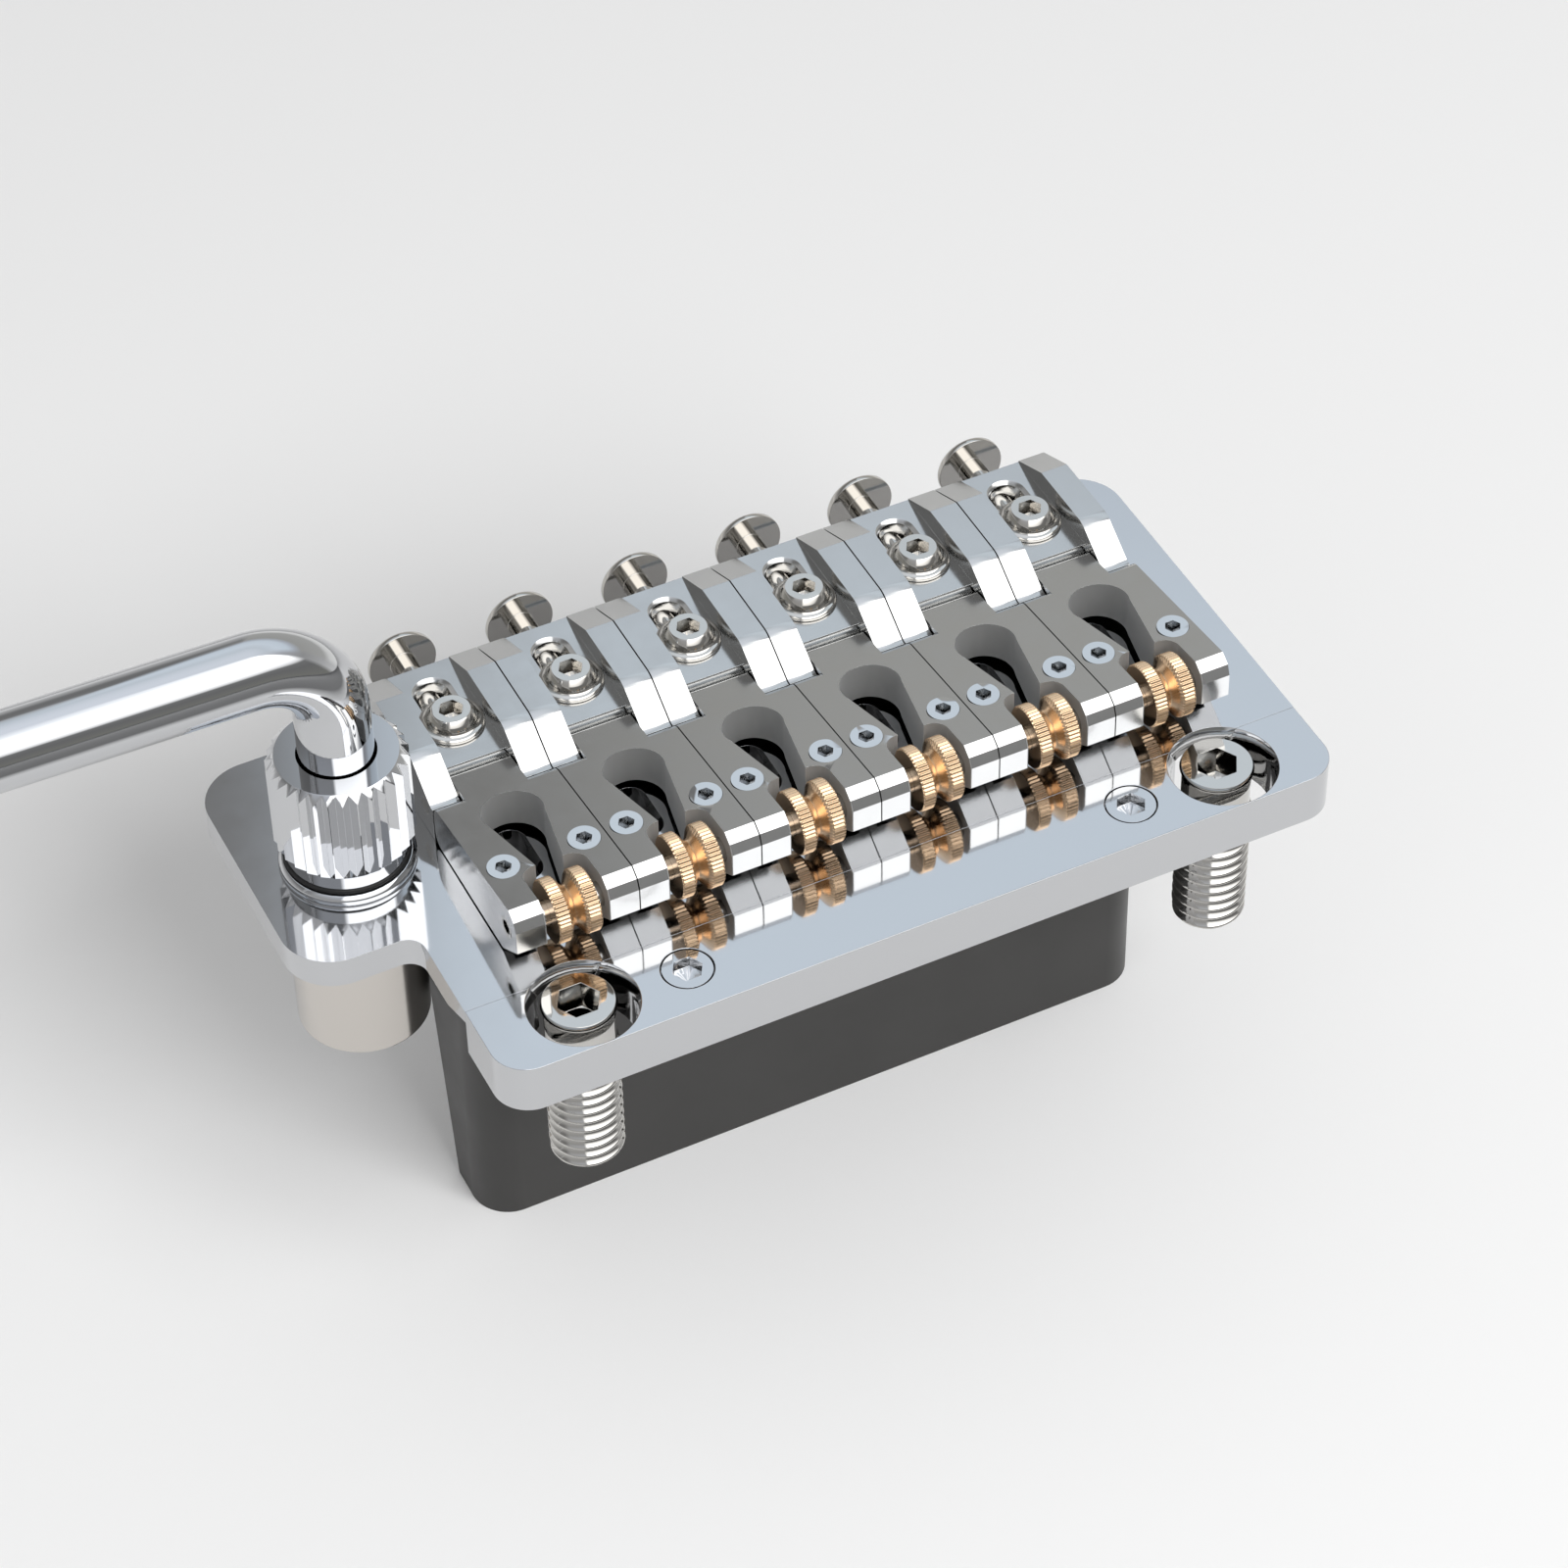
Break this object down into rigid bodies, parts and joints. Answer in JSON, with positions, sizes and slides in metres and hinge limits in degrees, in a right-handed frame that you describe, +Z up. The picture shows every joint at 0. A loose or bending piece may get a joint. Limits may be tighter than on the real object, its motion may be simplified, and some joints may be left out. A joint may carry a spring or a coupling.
{
  "type": "guitar tremolo bridge",
  "caption": "Two-post guitar tremolo bridge with rocking roller saddles, a steel sustain block and a swinging arm.",
  "frame": {"origin": "midway between the two pivot studs, on the guitar's top face", "axes": "+X across the strings, away from the arm; +Y from the pivot studs towards the rear edge; +Z up from the guitar's top"},
  "size_m": [0.2321, 0.045, 0.0685],
  "materials": {
    "chrome": "polished, very slightly blurred",
    "satin_block": "satin dark grey",
    "brass": "satin with a knurled rim",
    "screw_steel": "satin",
    "black_rubber": "matte",
    "white_plastic": "satin"
  },
  "bodies": {
    "bridge": {"base_plate": "chrome", "front_bar": "chrome", "front_bar_screws": "chrome", "sustain_block": "satin_block", "block_screws": "screw_steel", "arm_socket": "screw_steel", "arm_bushing": "white_plastic", "socket_ring": "chrome", "arm_seal": "black_rubber", "lock_screws": "screw_steel"},
    "studs": {"pivot_studs": "chrome"},
    "arm": {"arm_rod": "chrome", "arm_tip": "white_plastic"},
    "collar": {"arm_collar": "chrome"},
    "saddle_1": {"saddle_carriage_1": "chrome", "hinge_pin_1": "screw_steel"},
    "rocker_1": {"saddle_rocker_1": "chrome", "roller_pin_1": "screw_steel"},
    "height_screws_1": {"height_screws_1": "screw_steel"},
    "roller_1": {"roller_1": "brass"},
    "thumb_screw_1": {"thumb_screw_1": "screw_steel"},
    "saddle_2": {"saddle_carriage_2": "chrome", "hinge_pin_2": "screw_steel"},
    "rocker_2": {"saddle_rocker_2": "chrome", "roller_pin_2": "screw_steel"},
    "height_screws_2": {"height_screws_2": "screw_steel"},
    "roller_2": {"roller_2": "brass"},
    "thumb_screw_2": {"thumb_screw_2": "screw_steel"},
    "saddle_3": {"saddle_carriage_3": "chrome", "hinge_pin_3": "screw_steel"},
    "rocker_3": {"saddle_rocker_3": "chrome", "roller_pin_3": "screw_steel"},
    "height_screws_3": {"height_screws_3": "screw_steel"},
    "roller_3": {"roller_3": "brass"},
    "thumb_screw_3": {"thumb_screw_3": "screw_steel"},
    "saddle_4": {"saddle_carriage_4": "chrome", "hinge_pin_4": "screw_steel"},
    "rocker_4": {"saddle_rocker_4": "chrome", "roller_pin_4": "screw_steel"},
    "height_screws_4": {"height_screws_4": "screw_steel"},
    "roller_4": {"roller_4": "brass"},
    "thumb_screw_4": {"thumb_screw_4": "screw_steel"},
    "saddle_5": {"saddle_carriage_5": "chrome", "hinge_pin_5": "screw_steel"},
    "rocker_5": {"saddle_rocker_5": "chrome", "roller_pin_5": "screw_steel"},
    "height_screws_5": {"height_screws_5": "screw_steel"},
    "roller_5": {"roller_5": "brass"},
    "thumb_screw_5": {"thumb_screw_5": "screw_steel"},
    "saddle_6": {"saddle_carriage_6": "chrome", "hinge_pin_6": "screw_steel"},
    "rocker_6": {"saddle_rocker_6": "chrome", "roller_pin_6": "screw_steel"},
    "height_screws_6": {"height_screws_6": "screw_steel"},
    "roller_6": {"roller_6": "brass"},
    "thumb_screw_6": {"thumb_screw_6": "screw_steel"}
  },
  "joints": [
    {"name": "bridge_pivot", "type": "hinge", "parent": "studs", "child": "bridge", "pos_m": [0, 0.00315, 0.0068], "axis": [1, 0, 0], "range_deg": [-6, 20]},
    {"name": "arm_swing", "type": "hinge", "parent": "bridge", "child": "arm", "pos_m": [-0.0379, 0.02165, 0.008], "axis": [0, 0, 1], "continuous": true},
    {"name": "collar_turn", "type": "hinge", "parent": "bridge", "child": "collar", "pos_m": [-0.0379, 0.02165, 0.013], "axis": [0, 0, 1], "continuous": true},
    {"name": "thumb_screw_1_turn", "type": "hinge", "parent": "bridge", "child": "thumb_screw_1", "pos_m": [-0.026, 0.036, 0.0097], "axis": [0, 1, 0], "range_deg": [-2540, 585]},
    {"name": "saddle_1_slide", "type": "slide", "parent": "bridge", "child": "saddle_1", "axis": [0, 1, 0], "range_m": [-0.0035, 0.0008]},
    {"name": "rocker_1_tilt", "type": "hinge", "parent": "saddle_1", "child": "rocker_1", "pos_m": [-0.026, 0.0216, 0.0106], "axis": [-1, 0, 0], "range_deg": [0, 8]},
    {"name": "height_screws_1_feed", "type": "slide", "parent": "rocker_1", "child": "height_screws_1", "axis": [0, 0, -1], "range_m": [0, 0.00168]},
    {"name": "roller_1_spin", "type": "hinge", "parent": "rocker_1", "child": "roller_1", "pos_m": [-0.026, 0.0059, 0.0115], "axis": [1, 0, 0], "continuous": true},
    {"name": "thumb_screw_2_turn", "type": "hinge", "parent": "bridge", "child": "thumb_screw_2", "pos_m": [-0.0156, 0.036, 0.0097], "axis": [0, 1, 0], "range_deg": [-2540, 585]},
    {"name": "saddle_2_slide", "type": "slide", "parent": "bridge", "child": "saddle_2", "axis": [0, 1, 0], "range_m": [-0.0035, 0.0008]},
    {"name": "rocker_2_tilt", "type": "hinge", "parent": "saddle_2", "child": "rocker_2", "pos_m": [-0.0156, 0.0216, 0.0106], "axis": [-1, 0, 0], "range_deg": [0, 8]},
    {"name": "height_screws_2_feed", "type": "slide", "parent": "rocker_2", "child": "height_screws_2", "axis": [0, 0, -1], "range_m": [0, 0.00168]},
    {"name": "roller_2_spin", "type": "hinge", "parent": "rocker_2", "child": "roller_2", "pos_m": [-0.0156, 0.0059, 0.0115], "axis": [1, 0, 0], "continuous": true},
    {"name": "thumb_screw_3_turn", "type": "hinge", "parent": "bridge", "child": "thumb_screw_3", "pos_m": [-0.0052, 0.036, 0.0097], "axis": [0, 1, 0], "range_deg": [-2540, 585]},
    {"name": "saddle_3_slide", "type": "slide", "parent": "bridge", "child": "saddle_3", "axis": [0, 1, 0], "range_m": [-0.0035, 0.0008]},
    {"name": "rocker_3_tilt", "type": "hinge", "parent": "saddle_3", "child": "rocker_3", "pos_m": [-0.0052, 0.0216, 0.0106], "axis": [-1, 0, 0], "range_deg": [0, 8]},
    {"name": "height_screws_3_feed", "type": "slide", "parent": "rocker_3", "child": "height_screws_3", "axis": [0, 0, -1], "range_m": [0, 0.00168]},
    {"name": "roller_3_spin", "type": "hinge", "parent": "rocker_3", "child": "roller_3", "pos_m": [-0.0052, 0.0059, 0.0115], "axis": [1, 0, 0], "continuous": true},
    {"name": "thumb_screw_4_turn", "type": "hinge", "parent": "bridge", "child": "thumb_screw_4", "pos_m": [0.0052, 0.036, 0.0097], "axis": [0, 1, 0], "range_deg": [-2540, 585]},
    {"name": "saddle_4_slide", "type": "slide", "parent": "bridge", "child": "saddle_4", "axis": [0, 1, 0], "range_m": [-0.0035, 0.0008]},
    {"name": "rocker_4_tilt", "type": "hinge", "parent": "saddle_4", "child": "rocker_4", "pos_m": [0.0052, 0.0216, 0.0106], "axis": [-1, 0, 0], "range_deg": [0, 8]},
    {"name": "height_screws_4_feed", "type": "slide", "parent": "rocker_4", "child": "height_screws_4", "axis": [0, 0, -1], "range_m": [0, 0.00168]},
    {"name": "roller_4_spin", "type": "hinge", "parent": "rocker_4", "child": "roller_4", "pos_m": [0.0052, 0.0059, 0.0115], "axis": [1, 0, 0], "continuous": true},
    {"name": "thumb_screw_5_turn", "type": "hinge", "parent": "bridge", "child": "thumb_screw_5", "pos_m": [0.0156, 0.036, 0.0097], "axis": [0, 1, 0], "range_deg": [-2540, 585]},
    {"name": "saddle_5_slide", "type": "slide", "parent": "bridge", "child": "saddle_5", "axis": [0, 1, 0], "range_m": [-0.0035, 0.0008]},
    {"name": "rocker_5_tilt", "type": "hinge", "parent": "saddle_5", "child": "rocker_5", "pos_m": [0.0156, 0.0216, 0.0106], "axis": [-1, 0, 0], "range_deg": [0, 8]},
    {"name": "height_screws_5_feed", "type": "slide", "parent": "rocker_5", "child": "height_screws_5", "axis": [0, 0, -1], "range_m": [0, 0.00168]},
    {"name": "roller_5_spin", "type": "hinge", "parent": "rocker_5", "child": "roller_5", "pos_m": [0.0156, 0.0059, 0.0115], "axis": [1, 0, 0], "continuous": true},
    {"name": "thumb_screw_6_turn", "type": "hinge", "parent": "bridge", "child": "thumb_screw_6", "pos_m": [0.026, 0.036, 0.0097], "axis": [0, 1, 0], "range_deg": [-2540, 585]},
    {"name": "saddle_6_slide", "type": "slide", "parent": "bridge", "child": "saddle_6", "axis": [0, 1, 0], "range_m": [-0.0035, 0.0008]},
    {"name": "rocker_6_tilt", "type": "hinge", "parent": "saddle_6", "child": "rocker_6", "pos_m": [0.026, 0.0216, 0.0106], "axis": [-1, 0, 0], "range_deg": [0, 8]},
    {"name": "height_screws_6_feed", "type": "slide", "parent": "rocker_6", "child": "height_screws_6", "axis": [0, 0, -1], "range_m": [0, 0.00168]},
    {"name": "roller_6_spin", "type": "hinge", "parent": "rocker_6", "child": "roller_6", "pos_m": [0.026, 0.0059, 0.0115], "axis": [1, 0, 0], "continuous": true}
  ],
  "couplings": [
    {"joint": "thumb_screw_1_turn", "follows": "saddle_1_slide", "rad_per_m": 12566},
    {"joint": "height_screws_1_feed", "follows": "rocker_1_tilt", "m_per_rad": 0.0115},
    {"joint": "thumb_screw_2_turn", "follows": "saddle_2_slide", "rad_per_m": 12566},
    {"joint": "height_screws_2_feed", "follows": "rocker_2_tilt", "m_per_rad": 0.0115},
    {"joint": "thumb_screw_3_turn", "follows": "saddle_3_slide", "rad_per_m": 12566},
    {"joint": "height_screws_3_feed", "follows": "rocker_3_tilt", "m_per_rad": 0.0115},
    {"joint": "thumb_screw_4_turn", "follows": "saddle_4_slide", "rad_per_m": 12566},
    {"joint": "height_screws_4_feed", "follows": "rocker_4_tilt", "m_per_rad": 0.0115},
    {"joint": "thumb_screw_5_turn", "follows": "saddle_5_slide", "rad_per_m": 12566},
    {"joint": "height_screws_5_feed", "follows": "rocker_5_tilt", "m_per_rad": 0.0115},
    {"joint": "thumb_screw_6_turn", "follows": "saddle_6_slide", "rad_per_m": 12566},
    {"joint": "height_screws_6_feed", "follows": "rocker_6_tilt", "m_per_rad": 0.0115}
  ]
}
